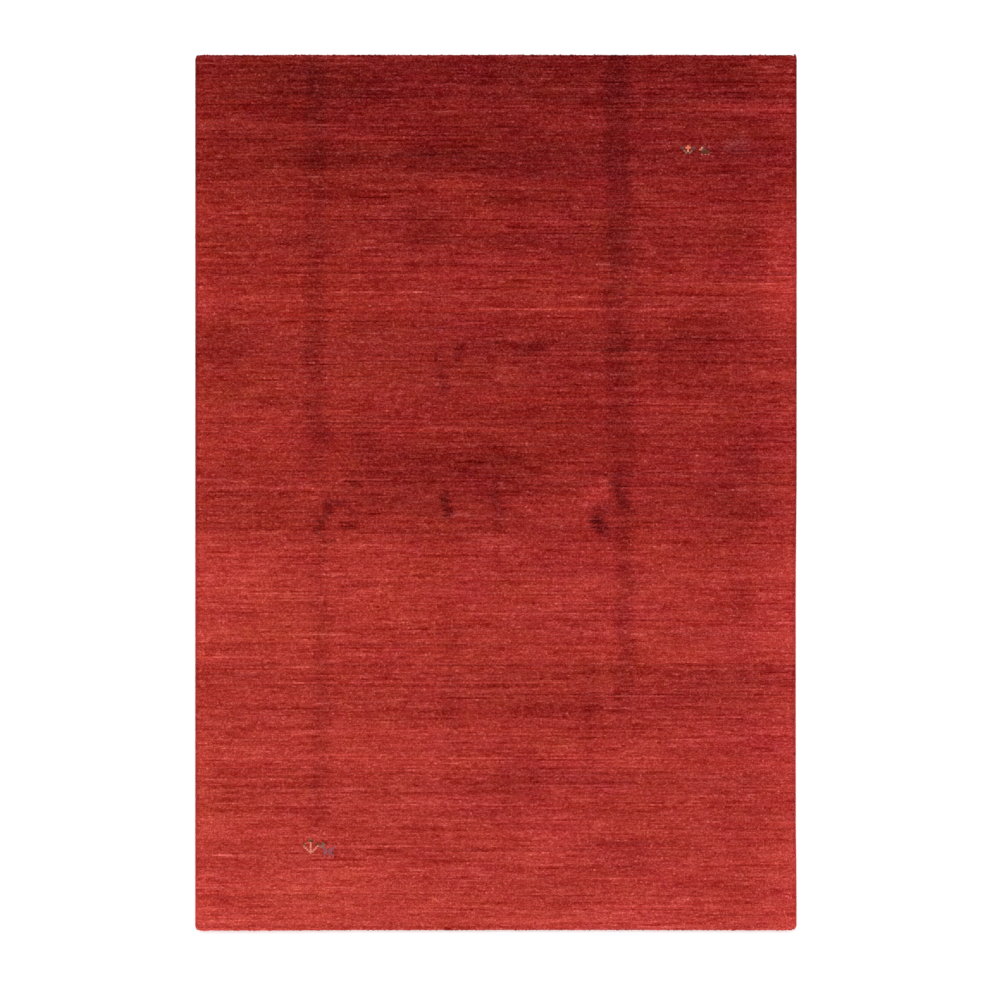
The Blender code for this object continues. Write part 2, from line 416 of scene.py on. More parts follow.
class Finish:
    """A material in the making: its nodes, and the values and colours that they carry."""

    def __init__(self, name):
        self.material = bpy.data.materials.new(name)
        self.material.use_nodes = True
        self.tree = self.material.node_tree
        self.surface = self.tree.nodes["Principled BSDF"]

    def node(self, kind, settings=None, sockets=None):
        """Adds a node, gives it its settings, and then the values or links of its sockets."""
        node = self.tree.nodes.new(kind)
        for name, setting in (settings or {}).items():
            if name == "stops":
                self.set_stops(node.color_ramp, setting)
            else:
                setattr(node, name, setting)
        for name, given in (sockets or {}).items():
            self.feed(node.inputs[name], given)
        return node

    def feed(self, socket, given):
        if isinstance(given, Value):
            self.tree.links.new(given.socket, socket)
        else:
            socket.default_value = given

    def set_stops(self, ramp, stops):
        while len(ramp.elements) < len(stops):
            ramp.elements.new(1.0)
        for element, (place, colour) in zip(ramp.elements, stops):
            element.position = place
            element.color = (*colour, 1.0)

    def value(self, node, output=0):
        return Value(self, node.outputs[output])

    def attribute(self, name, output="Fac"):
        """A number or colour kept on the piece's own faces or points."""
        return self.value(self.node("ShaderNodeAttribute", {"attribute_name": name}), output)

    def place(self, scale=(1.0, 1.0, 1.0)):
        """The point on the piece, in metres, stretched to suit a pattern."""
        here = self.value(self.node("ShaderNodeTexCoord"), "Object")
        return self.value(self.node("ShaderNodeMapping", sockets={"Vector": here, "Scale": scale}))

    def noise(self, grain, scale=(1.0, 1.0, 1.0), detail=2.0):
        """Fine mottling about as wide as grain, from 0 to 1, stretched by scale."""
        sockets = {"Vector": self.place(scale), "Scale": 1.0 / grain, "Detail": detail}
        return self.value(self.node("ShaderNodeTexNoise", sockets=sockets))

    def yarn_ends(self, width, scale=(1.0, 1.0, 1.0)):
        """Cut ends of packed yarn: a number for each end, and how far a place is from its middle."""
        sockets = {"Vector": self.place(scale), "Scale": 1.0 / width, "Randomness": 0.9}
        node = self.node("ShaderNodeTexVoronoi", {"voronoi_dimensions": "3D"}, sockets)
        return self.value(node, "Color"), self.value(node, "Distance")

    def ribs(self, pitch, direction):
        """Even ribs at a pitch along X or Y, from 0 in the grooves to 1 on the crests."""
        settings = {"wave_type": "BANDS", "bands_direction": direction, "wave_profile": "SIN"}
        sockets = {"Vector": self.place(), "Scale": math.pi / (10.0 * pitch)}
        return self.value(self.node("ShaderNodeTexWave", settings, sockets), "Fac")

    def ramp(self, factor, stops):
        node = self.node("ShaderNodeValToRGB", {"stops": stops}, {"Fac": factor})
        return self.value(node, "Color")

    def blend(self, factor, first, second):
        """One colour over another."""
        settings = {"data_type": "RGBA"}
        node = self.node("ShaderNodeMix", settings, {"Factor": factor, "A": first, "B": second})
        return self.value(node, 2)

    def combine(self, operation, first, second):
        """Two colours put together part by part."""
        node = self.node("ShaderNodeVectorMath", {"operation": operation}, {0: first, 1: second})
        return self.value(node)

    def tint(self, colour, strength):
        """A colour made stronger or weaker as a whole."""
        parts = {"Red": strength, "Green": strength, "Blue": strength}
        strengths = self.value(self.node("ShaderNodeCombineColor", sockets=parts))
        return self.combine("MULTIPLY", colour, strengths)

    def wool(self, colour, roughness, height, depth):
        """Sets a matt wool surface: its colour, its soft shine and the relief of its fibres."""
        relief = self.node("ShaderNodeBump", sockets={"Height": height, "Distance": depth, "Strength": 1.0})
        return self.surfaced({
            "Base Color": colour,
            "Roughness": roughness,
            "Normal": self.value(relief),
            "Metallic": 0.0,
            "Specular IOR Level": 0.03,
            "Sheen Weight": 0.05,
            "Sheen Roughness": 0.45,
            "Sheen Tint": (1.0, 0.40, 0.36, 1.0),
        })

    def surfaced(self, sockets):
        """The finished material, once its surface has its values and links."""
        for name, given in sockets.items():
            self.feed(self.surface.inputs[name], given)
        return self.material


SCREEN_OFFSET = 0.055
SCREEN_GAMMA = 2.4
DARKEST_WOOL = (0.05, 0.05, 0.05)


def screen_part(part):
    """A screen colour's part, 0 to 255, as madder's sums take it."""
    return (part / 255 + SCREEN_OFFSET) / (1 + SCREEN_OFFSET)


def madder(finish, shade, pale, lean):
    """The reds of the field: a shade from dark to light, bleached by pale, leaning to brick or to crimson."""
    stops = [(stop.shade, [screen_part(part) for part in stop.colour]) for stop in YARN_SHADES]
    red = finish.ramp(shade, stops)
    parts = {"X": pale, "Y": pale + lean, "Z": pale - lean}
    shift = finish.value(finish.node("ShaderNodeCombineXYZ", sockets=parts))
    kept = finish.combine("MAXIMUM", finish.combine("ADD", red, shift), DARKEST_WOOL)
    return finish.value(finish.node("ShaderNodeGamma", sockets={"Color": kept, "Gamma": SCREEN_GAMMA}))


def pile_material():
    """Clipped wool tufts: each knot in its own yarn, with painted shade down in the gaps, and fibres on top.
    """
    finish = Finish("pile_wool")
    height = finish.attribute("tuft_height")
    fibres = finish.noise(0.0007, (1.0, 1.0, 0.4), 3.0)
    threads = finish.noise(0.0024, (0.14, 1.0, 0.3), 1.0)
    end, edge = finish.yarn_ends(0.0023, (0.75, 1.25, 0.15))
    bright = end.math("GREATER_THAN", 0.70)
    # Painted shade: the yarn is darker down in the gaps between tufts, following the height on the tuft.
    shade = finish.attribute("yarn_shade") + (height - 0.45) * 0.06 + (fibres - 0.5) * 0.06
    pale = finish.attribute("yarn_pale") + (threads - 0.5) * 0.15 + (end - 0.5) * 0.10 + bright * 0.04
    # Painted shade: each cut yarn end is paler in its middle and darker towards its edge.
    pale = pale + (0.38 - edge) * 0.13 + (fibres - 0.5) * 0.05
    field = madder(finish, shade, pale, finish.attribute("yarn_lean"))
    # A motif knot's colour: painted shade, darker down in the gaps, and uneven fibres and threads.
    light = 0.66 + height * 0.25 + (fibres - 0.5) * 0.25 + (threads - 0.5) * 0.9
    charted = finish.tint(finish.attribute("knot_dye", "Color"), light)
    colour = finish.blend(finish.attribute("knot_dye", "Alpha"), field, charted)
    return finish.wool(colour, 0.88 + fibres * 0.10, fibres * 0.6 - edge, 0.0009)


def cord_material():
    """Overcast yarn: plies that run round the cord, each wrap a little off its neighbours."""
    finish = Finish("cord_wool")
    plies = finish.noise(0.0009, (0.35, 1.6, 0.35), 3.0)
    runs = finish.noise(0.0350, (1.0, 1.0, 1.0), 2.0)
    crest = finish.attribute("tuft_height")
    # Painted shade: each wrap is lighter on its crest and darker in the groove beside it.
    shade = finish.attribute("yarn_shade") + (crest - 0.5) * 0.07 + (plies - 0.5) * 0.12 + (runs - 0.5) * 0.22
    lean = (finish.noise(0.0300, (1.0, 1.0, 1.0), 1.0) - 0.62) * 0.09
    colour = madder(finish, shade, (plies - 0.5) * 0.08, lean)
    return finish.wool(colour, 0.84 + plies * 0.12, plies, 0.0004)


def base_material():
    """The underside: rows of knot backs in the field's own shades, two nodes to a knot."""
    cloth = bpy.context.scene.rug_cloth
    finish = Finish("base_weave")
    rows = finish.ribs(cloth.row_height, "Y")
    nodes = finish.ribs(cloth.knot_width / 2, "X")
    fibres = finish.noise(0.0009, (1.0, 1.0, 1.0), 2.0)
    yarns = finish.noise(cloth.row_height, (0.10, 1.0, 1.0), 1.0)
    short_yarns = finish.noise(cloth.row_height, (0.45, 1.0, 1.0), 1.0)
    # Painted shade: the underside is darker in the grooves between its rows and knot nodes, following their
    # relief.
    shade = finish.attribute("yarn_shade") + (yarns - 0.5) * 0.22 + (rows * nodes - 0.5) * 0.08
    pale = (short_yarns - 0.5) * 0.20 + (fibres - 0.5) * 0.06
    colour = madder(finish, shade, pale, (yarns - 0.5) * 0.04)
    return finish.wool(colour, 0.88 + fibres * 0.08, rows * 0.8 + nodes * 0.5 + fibres * 0.3, 0.0004)


def end_material():
    """The turned ends: a fine weft packed over its warps."""
    finish = Finish("end_weave")
    wefts = finish.noise(0.0008, (0.5, 1.0, 2.0), 2.0)
    runs = finish.noise(0.0450, (1.0, 1.0, 1.0), 2.0)
    rib = finish.attribute("tuft_height")
    # Painted shade: each rib is lighter on its crest and darker in the groove beside it.
    shade = finish.attribute("yarn_shade") + (rib - 0.5) * 0.06 + (wefts - 0.5) * 0.12 + (runs - 0.5) * 0.20
    colour = madder(finish, shade, (wefts - 0.5) * 0.06, (runs - 0.60) * 0.10)
    return finish.wool(colour, 0.86 + wefts * 0.1, wefts, 0.0003)


def plain_yarn_material(name, colour):
    """A plain twisted yarn of one colour."""
    finish = Finish(name)
    plies = finish.noise(0.0006, (1.0, 1.0, 1.0), 3.0)
    return finish.wool(finish.tint(colour, 0.80 + plies * 0.4), 0.85 + plies * 0.1, plies, 0.0003)


def floor_material():
    """A plain pale floor with the faintest unevenness."""
    finish = Finish("pale_floor")
    cloudy = finish.noise(0.6, detail=2.0)
    return finish.surfaced({
        "Base Color": finish.tint((0.86, 0.86, 0.86), 0.985 + cloudy * 0.02),
        "Roughness": 0.70 + cloudy * 0.05,
        "Emission Color": (1.0, 1.0, 1.0, 1.0),
        "Emission Strength": 0.28,
        "Specular IOR Level": 0.2,
    })


def column(table, name):
    return [getattr(row, name) for row in table]


def smooth(share):
    """Eases a share of 0 to 1 in and out."""
    share = np.clip(share, 0.0, 1.0)
    return share * share * (3.0 - 2.0 * share)


def soft_noise(rng, shape, cells):
    """Gentle unevenness over a grid, made from a coarser grid of random numbers."""
    coarse = rng.normal(0.0, 1.0, (cells[0] + 2, cells[1] + 2))
    for axis in (0, 1):
        places = np.linspace(0.5, cells[axis] + 0.5, shape[axis])
        lower = places.astype(int)
        share = smooth(places - lower)
        share = share[:, None] if axis == 0 else share[None, :]
        before, after = np.take(coarse, lower, axis), np.take(coarse, lower + 1, axis)
        coarse = before * (1 - share) + after * share
    return coarse


def running_mean(line, width):
    """Evens a line of numbers out over an odd number of its neighbours."""
    return np.convolve(np.pad(line, width // 2, "edge"), np.ones(width) / width, "valid")


def corner_inset(distance, radius):
    """How far a round corner stands in from the side at a distance from the end."""
    left = np.clip(radius - distance, 0.0, radius)
    return radius - np.sqrt(radius * radius - left * left)


def yarn_runs(rng, shape, knots):
    """A number for every knot that changes only where the knotter takes up the next length of yarn."""
    taken_up = rng.random(shape) < 1.0 / knots
    taken_up[:, 0] = True
    length = np.cumsum(taken_up.reshape(-1)) - 1
    return rng.laplace(0.0, 0.7, length[-1] + 1)[length].reshape(shape)


def mark_weight(mark, x, y):
    """How strongly a mark shows at each place: whole in its middle and soft at its edge."""
    turn = math.radians(mark.tilt)
    across = (x - mark.x) * math.cos(turn) + (y - mark.y) * math.sin(turn)
    along = (y - mark.y) * math.cos(turn) - (x - mark.x) * math.sin(turn)
    return smooth(1.5 - 1.5 * np.abs(across) / mark.half_x) * smooth(1.5 - 1.5 * np.abs(along) / mark.half_y)


class KnotPlan:
    """Every knot of the rug: where its tuft stands, which yarn it is tied in and what stands round it."""

    probe_share = 0.999
    corner_reach = 0.005
    row_wander = 0.004
    side_wander = 0.006
    lot_wander = 0.005
    wide_clouds = 0.013
    small_clouds = 0.009
    lean_clouds = 0.0035
    lean_across = 0.005
    gap_share = 0.6
    tip_share = 0.4
    tip_scatter = 0.00028
    gap_scatter = 0.00022
    gap_reach = 0.0009
    tip_reach = 0.0011

    def __init__(self):
        cloth = bpy.context.scene.rug_cloth
        self.solid = Solid("rug_field")
        self.rng = np.random.default_rng(cloth.seed)
        middle = (CLOTH_LOW.x + CLOTH_HIGH.x) / 2
        self.columns = round((CLOTH_HIGH.x - CLOTH_LOW.x) / cloth.knot_width)
        self.rows = round((CLOTH_HIGH.y - CLOTH_LOW.y - 2 * cloth.end_width) / cloth.row_height)
        across = np.linspace(0.0, 1.0, self.columns + 1)
        along = np.linspace(0.0, 1.0, self.rows + 1)
        probe = cloth.base_thickness / 2
        level_x = CLOTH_LOW.x + (CLOTH_HIGH.x - CLOTH_LOW.x) * across
        level_x = middle + (level_x - middle) * self.probe_share
        ends = [np.array([self.solid.end(sign, x, probe) for x in level_x]) for sign in (-1, 1)]
        corner = max(4, round(self.corner_reach / cloth.knot_width))
        for line in ends:
            line[:corner], line[-corner:] = line[corner], line[-corner - 1]
        low, high = ends[0] + cloth.end_width, ends[1] - cloth.end_width
        self.gap_y = low[None, :] + (high - low)[None, :] * along[:, None]
        level_y = self.gap_y.mean(axis=1)
        left, right = self.solid.sides(level_y, probe)
        self.gap_x = left[:, None] + (right - left)[:, None] * across[None, :]
        self.round_corners(cloth.corner_radius)
        self.tip_x, self.tip_y = (self.between(places) for places in (self.gap_x, self.gap_y))
        self.set_shades()
        self.set_dyes()
        self.set_heights()

    def round_corners(self, radius):
        """Draws the knots by each corner of the pile in to a round corner."""
        x, y = self.gap_x, self.gap_y
        side = np.clip(np.maximum(x[:, :1] - x, x - x[:, -1:]) / radius + 1.0, 0.0, 1.0)
        end = np.clip(np.maximum(y[:1] - y, y - y[-1:]) / radius + 1.0, 0.0, 1.0)
        reach = np.maximum(np.hypot(side, end), 0.01)
        share = np.where((side > 0) & (end > 0), np.maximum(side, end) / reach, 1.0)
        self.gap_x = x - np.sign(x) * side * (1.0 - share) * radius
        self.gap_y = y - np.sign(y) * end * (1.0 - share) * radius

    def between(self, corners):
        """The middle of each knot from its four corners."""
        return (corners[1:, 1:] + corners[:-1, 1:] + corners[1:, :-1] + corners[:-1, :-1]) / 4

    def set_shades(self):
        shape = (self.rows, self.columns)
        rng = self.rng
        x = self.tip_x + rng.normal(0.0, self.row_wander, (self.rows, 1))
        x = x + self.side_wander * soft_noise(rng, shape, (60, 12))
        y = self.tip_y + self.lot_wander * soft_noise(rng, shape, (30, 24))
        shade = np.interp(y, column(DYE_LOTS, "y"), column(DYE_LOTS, "shade"))
        shade += np.interp(x, column(SIDE_FADES, "x"), column(SIDE_FADES, "lighter"))
        pale = np.zeros(shape)
        for mark in MARKS:
            weight = mark_weight(mark, x, y)
            shade += mark.lighter * weight
            pale += mark.paler * weight
        clouds = self.wide_clouds * soft_noise(rng, shape, (70, 9))
        shade += clouds + self.small_clouds * soft_noise(rng, shape, (110, 40))
        lean = self.lean_clouds * soft_noise(rng, shape, (40, 14))
        lean = lean + self.lean_clouds * soft_noise(rng, shape, (130, 80))
        for run in YARN_RUNS:
            shade += run.shade_spread * yarn_runs(rng, shape, run.knots)
            pale += run.pale_spread * yarn_runs(rng, shape, run.knots)
        pale += FLECK_LIGHTER * (rng.random(shape) < FLECK_SHARE)
        self.shade, self.pale, self.lean = shade, pale, lean - self.lean_across * x

    def set_dyes(self):
        """Ties the charted motifs into the field with their own wools."""
        wools = bpy.context.scene.rug_wools
        self.dye = np.zeros((self.rows, self.columns, 4))
        for motif in MOTIFS:
            column_at = int(np.abs(self.tip_x[0] - motif.x).argmin())
            row_at = int(np.abs(self.tip_y[:, column_at] - motif.y).argmin())
            height, width = len(motif.chart), len(motif.chart[0])
            for down, line in enumerate(motif.chart):
                for right, letter in enumerate(line):
                    if letter != ".":
                        place = (row_at + height // 2 - down, column_at + right - width // 2)
                        self.dye[place] = (*getattr(wools, MOTIF_WOOLS[letter]), 1.0)

    def set_heights(self):
        cloth = bpy.context.scene.rug_cloth
        rng, wander = self.rng, cloth.tip_wander
        probe = np.vectorize(self.solid.top)
        self.gap_z = probe(self.gap_x, self.gap_y)
        inner = self.between(self.gap_z)
        self.gap_z -= cloth.tuft_rise * self.gap_share
        least = cloth.base_thickness + cloth.edge_pile
        self.gap_z = np.maximum(self.gap_z, least)
        inner = np.maximum(inner, least + cloth.tuft_rise * 0.5)
        self.tip_z = inner + cloth.tuft_rise * self.tip_share + rng.normal(0.0, self.tip_scatter, inner.shape)
        gaps = self.gap_x.shape
        inside = np.zeros(gaps)
        inside[1:-1, 1:-1] = 1.0
        self.gap_x += inside * self.stray(wander * 0.7, self.gap_reach, gaps)
        self.gap_y += inside * self.stray(wander * 0.7, self.gap_reach, gaps)
        self.gap_z += inside * rng.normal(0.0, self.gap_scatter, gaps)
        self.tip_x = self.tip_x + self.stray(wander, self.tip_reach, self.tip_x.shape)
        self.tip_y = self.tip_y + self.stray(wander, self.tip_reach, self.tip_y.shape)

    def stray(self, wander, reach, shape):
        """How far each place strays, and never past its reach."""
        return np.clip(self.rng.normal(0.0, wander, shape), -reach, reach)


class RugPieces:
    """What the operators share: the plan of the knots, and the finishes once they are made."""

    plan = None
    materials = {}

    @classmethod
    def knots(cls):
        if cls.plan is None:
            cls.plan = KnotPlan()
        return cls.plan

    @classmethod
    def material(cls, name, make, *given):
        if name not in cls.materials:
            cls.materials[name] = make(*given)
        return cls.materials[name]


def new_piece(name, shape, material, nodes):
    """Makes a bmesh a piece that rides on the rug's body and stands for its solids, and gives its mesh."""
    mesh = bpy.data.meshes.new(name)
    shape.to_mesh(mesh)
    shape.free()
    mesh.materials.append(material)
    piece = bpy.data.objects.new(name, mesh)
    bpy.context.scene.collection.objects.link(piece)
    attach(piece, BODY)
    if nodes:
        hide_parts(*nodes)
    return mesh


def read_points(mesh):
    points = np.empty(len(mesh.vertices) * 3, np.float32)
    mesh.vertices.foreach_get("co", points)
    return points.reshape(-1, 3).astype(float)


def write_points(mesh, points):
    mesh.vertices.foreach_set("co", np.ascontiguousarray(points, np.float32).reshape(-1))
    mesh.update()


def face_middles(mesh, points):
    """The mean of the points round each face, and each corner's point number."""
    corners = np.empty(len(mesh.loops), np.int32)
    mesh.loops.foreach_get("vertex_index", corners)
    starts = np.empty(len(mesh.polygons), np.int32)
    mesh.polygons.foreach_get("loop_start", starts)
    counts = np.diff(np.append(starts, len(corners)))
    return np.add.reduceat(points[corners], starts, axis=0) / counts[:, None], corners, counts


def keep_numbers(mesh, name, domain, numbers):
    layer = mesh.attributes.new(name, "FLOAT", domain)
    layer.data.foreach_set("value", np.ascontiguousarray(numbers, np.float32))


def keep_colours(mesh, name, colours):
    layer = mesh.attributes.new(name, "FLOAT_COLOR", "FACE")
    layer.data.foreach_set("color", np.ascontiguousarray(colours, np.float32).reshape(-1))


def keep_yarns(mesh, shade, pale, lean):
    """Gives each face the shade of its yarn, how bleached it is and which way its red leans."""
    for name, numbers in (("yarn_shade", shade), ("yarn_pale", pale), ("yarn_lean", lean)):
        keep_numbers(mesh, name, "FACE", numbers)


def settle(mesh, points):
    """Puts a piece's points in their last places, with its faces smooth."""
    write_points(mesh, points)
    mesh.polygons.foreach_set("use_smooth", np.ones(len(mesh.polygons), bool))


def open_edges(shape):
    return [edge for edge in shape.edges if edge.is_boundary]


def walled_grid(cells, size, wall):
    """A flat grid that starts at the origin, with a wall drawn up or down all round it."""
    shape = bmesh.new()
    bmesh.ops.create_grid(shape, x_segments=cells[0], y_segments=cells[1], size=0.5)
    bmesh.ops.scale(shape, verts=shape.verts, vec=(*size, 1.0))
    bmesh.ops.translate(shape, verts=shape.verts, vec=(size[0] / 2, size[1] / 2, 0.0))
    faces, rim = list(shape.faces), open_edges(shape)
    walls = bmesh.ops.extrude_edge_only(shape, edges=rim)["geom"]
    foot = [item for item in walls if isinstance(item, bmesh.types.BMVert)]
    bmesh.ops.translate(shape, verts=foot, vec=(0.0, 0.0, wall))
    return shape, faces, rim


def close_grid(shape):
    """Fills the open side of a walled grid and turns its faces outwards."""
    bmesh.ops.contextual_create(shape, geom=open_edges(shape))
    bmesh.ops.recalc_face_normals(shape, faces=shape.faces)


BAKE_MAP = "OFBake"
BAKE_CHUNKS = 4
BAKE_WALL = 0.003
BAKE_GAP = 0.005
BAKE_SPARE = 0.02


def lay_out_map(mesh, grid, corners, middles, counts, columns, rows):
    """Lays a strip out flat in lengths side by side, so that each knot gets a squarish patch of the map."""
    length = rows / BAKE_CHUNKS
    chunk = np.clip(np.floor(middles[:, 1] / length), 0, BAKE_CHUNKS - 1).repeat(counts)
    places = grid[corners]
    wide = 1.0 / BAKE_CHUNKS
    inner_wide = wide - 2 * BAKE_GAP
    inner_high = 1.0 - BAKE_SPARE - 2 * BAKE_GAP
    u = places[:, 0] / columns
    v = (places[:, 1] - chunk * length) / length
    foot = places[:, 2] < -0.5
    out_u = np.where(u < 0.001, -1.0, np.where(u > 0.999, 1.0, 0.0)) * foot
    out_v = np.where(places[:, 1] < 0.001, -1.0, np.where(places[:, 1] > rows - 0.001, 1.0, 0.0)) * foot
    u = chunk * wide + BAKE_GAP + u * inner_wide + out_u * BAKE_WALL
    v = BAKE_GAP + v * inner_high + out_v * BAKE_WALL
    below = (counts > 4).repeat(counts)
    u = np.where(below, places[:, 0] / columns, u)
    v = np.where(below, 1.0 - BAKE_SPARE / 2 + places[:, 1] / rows * BAKE_SPARE / 3, v)
    layer = mesh.uv_layers.new(name=BAKE_MAP)
    layer.data.foreach_set("uv", np.stack([u, v], axis=1).astype(np.float32).reshape(-1))


def knotted_strip(number, first, last, plan):
    """One lengthwise strip of pile: a grid with a tuft poked up in each knot, closed down to the base."""
    cloth = bpy.context.scene.rug_cloth
    columns, rows = last - first, plan.rows
    shape, tufts, rim = walled_grid((columns, rows), (columns, rows), -1.0)
    bmesh.ops.poke(shape, faces=tufts, offset=1.0, center_mode="MEAN", use_relative_offset=False)
    close_grid(shape)
    for edge in rim:
        edge.smooth = False
    material = RugPieces.material("pile", pile_material)
    mesh = new_piece(f"pile_strip_{number}", shape, material, ["rug_field"])
    grid = read_points(mesh)
    middles, corners, counts = face_middles(mesh, grid)
    lay_out_map(mesh, grid, corners, middles, counts, columns, rows)
    knot_row = np.clip(middles[:, 1].astype(int), 0, rows - 1)
    knot_column = np.clip(middles[:, 0].astype(int), 0, columns - 1) + first
    keep_yarns(mesh, *(line[knot_row, knot_column] for line in (plan.shade, plan.pale, plan.lean)))
    keep_colours(mesh, "knot_dye", plan.dye[knot_row, knot_column])
    # For the painted shade: 1 at each tuft's tip, 0 down in the gaps.
    keep_numbers(mesh, "tuft_height", "POINT", np.clip(grid[:, 2], 0.0, 1.0))
    across, along = grid[:, 0] + first, grid[:, 1]
    gap = (np.round(along).astype(int), np.round(across).astype(int))
    tip = (np.clip(along.astype(int), 0, rows - 1), np.clip(across.astype(int), 0, plan.columns - 1))
    is_tip = grid[:, 2] > 0.5
    points = np.stack([plan.gap_x[gap], plan.gap_y[gap], plan.gap_z[gap]], axis=1)
    tips = np.stack([plan.tip_x[tip], plan.tip_y[tip], plan.tip_z[tip]], axis=1)
    points = np.where(is_tip[:, None], tips, points)
    points[:, 2] = np.where(grid[:, 2] < -0.5, cloth.base_thickness - 0.0002, points[:, 2])
    settle(mesh, points)


class RUG_OT_pile(Operator):
    """Knots the pile, strip by strip, each tuft in its own yarn"""

    bl_idname = "rug.knot_pile"
    bl_label = "Knot the pile"

    def execute(self, context):
        plan = RugPieces.knots()
        edges = np.linspace(0, plan.columns, context.scene.rug_cloth.strips + 1).round().astype(int)
        for number, (first, last) in enumerate(zip(edges, edges[1:]), 1):
            knotted_strip(number, int(first), int(last), plan)
        return {"FINISHED"}


def repeated(shape, count):
    """Repeats a small shape as an Array modifier does, and gives the one mesh that they make."""
    mesh = bpy.data.meshes.new("one")
    shape.to_mesh(mesh)
    shape.free()
    row = bpy.data.objects.new("row", mesh)
    bpy.context.scene.collection.objects.link(row)
    array = row.modifiers.new("copies", "ARRAY")
    array.count = count
    array.use_relative_offset = False
    bpy.context.view_layer.update()
    copies = bpy.data.meshes.new_from_object(row.evaluated_get(bpy.context.evaluated_depsgraph_get()))
    bpy.data.objects.remove(row)
    bpy.data.meshes.remove(mesh)
    together = bmesh.new()
    together.from_mesh(copies)
    bpy.data.meshes.remove(copies)
    return together


def turned(points, lean_x, lean_y, spin):
    """Points spun about Z, then leaning over along X and Y by a share of their height."""
    x = points[:, 0] * np.cos(spin) - points[:, 1] * np.sin(spin)
    y = points[:, 0] * np.sin(spin) + points[:, 1] * np.cos(spin)
    return np.stack([x + lean_x * points[:, 2], y + lean_y * points[:, 2], points[:, 2]], axis=1)


class RUG_OT_rim(Operator):
    """Stands the outermost tufts along all four edges, leaning a little outwards"""

    bl_idname = "rug.stand_rim_tufts"
    bl_label = "Stand the rim tufts"

    middle_height = 0.0086
    tuft_radius = 0.0014
    tuft_half_height = 0.0028
    side_overhang = 0.0027
    end_overhang = 0.0012
    least_lean = 0.20
    most_lean = 0.60
    most_spin = 1.2
    scatter = 0.0003
    radius_spread = 0.00012
    # Painted light: the rim tufts are made lighter against the shade on their steep sides at the edge.
    painted_light_lift = 0.02
    shade_spread = 0.012
    pale_spread = 0.020

    def execute(self, context):
        plan = RugPieces.knots()
        rng = np.random.default_rng(context.scene.rug_cloth.seed + 1)
        rows, columns, out_x, out_y, half = (np.array(line) for line in zip(*self.edge_tufts(plan)))
        shape = bmesh.new()
        bmesh.ops.create_cone(shape, cap_ends=True, segments=6, radius1=0.75, radius2=1.0, depth=2.0)
        points_each, faces_each = len(shape.verts), len(shape.faces)
        count = len(rows)
        material = RugPieces.material("pile", pile_material)
        mesh = new_piece("rim_tufts", repeated(shape, count), material, ["rug_field"])
        # Lifted as painted light, against the shade at the edge.
        shade = plan.shade[rows, columns] + rng.normal(self.painted_light_lift, self.shade_spread, count)
        pale = plan.pale[rows, columns] + rng.normal(0.0, self.pale_spread, count)
        keep_yarns(mesh, *(line.repeat(faces_each) for line in (shade, pale, plan.lean[rows, columns])))
        keep_colours(mesh, "knot_dye", np.zeros((count * faces_each, 4)))
        points = read_points(mesh)
        # For the painted shade: lower on each tuft, so that its foot is painted darker.
        keep_numbers(mesh, "tuft_height", "POINT", np.clip(points[:, 2] * 0.4 + 0.4, 0.0, 1.0))
        wide = rng.normal(self.tuft_radius, self.radius_spread, count)
        tall = rng.normal(self.tuft_half_height, self.scatter, count)
        lean = rng.uniform(self.least_lean, self.most_lean, count)
        spin = rng.uniform(0.0, self.most_spin, count)
        pitch = context.scene.rug_cloth.knot_width
        along = half * pitch + rng.normal(0.0, self.scatter, count)
        out = np.where(out_x == 0, self.end_overhang, self.side_overhang)
        out = out + rng.normal(0.0, self.scatter, count)
        x = plan.tip_x[rows, columns] - out_y * along + out_x * out
        y = plan.tip_y[rows, columns] + out_x * along + out_y * out
        z = rng.normal(self.middle_height, self.scatter, count)
        size = np.stack([wide, wide, tall], axis=1).repeat(points_each, axis=0)
        place = np.stack([x, y, z], axis=1).repeat(points_each, axis=0)
        leans = (line.repeat(points_each) for line in (out_x * lean, out_y * lean, spin))
        settle(mesh, turned(points * size, *leans) + place)
        return {"FINISHED"}

    def edge_tufts(self, plan):
        """Two tufts for each knot along the edges, with the way out of the rug."""
        for half in (-0.25, 0.25):
            for row in range(plan.rows):
                yield row, 0, -1.0, 0.0, half
                yield row, plan.columns - 1, 1.0, 0.0, half
            for column_at in range(plan.columns):
                yield 0, column_at, 0.0, -1.0, half
                yield plan.rows - 1, column_at, 0.0, 1.0, half


def swept_ring(sides, steps):
    """A closed ring drawn out along Y in whole steps, with both ends filled."""
    shape = bmesh.new()
    bmesh.ops.create_circle(shape, cap_ends=False, segments=sides, radius=1.0)
    for vert in shape.verts:
        vert.co = (vert.co.x, 0.0, vert.co.y)
    bmesh.ops.spin(
        shape, geom=list(shape.edges), cent=(0, 0, 0), axis=(0, 1, 0), dvec=(0, 1, 0), angle=0.0,
        steps=steps, use_merge=False,
    )
    bmesh.ops.holes_fill(shape, edges=shape.edges, sides=0)
    bmesh.ops.recalc_face_normals(shape, faces=shape.faces)
    return shape


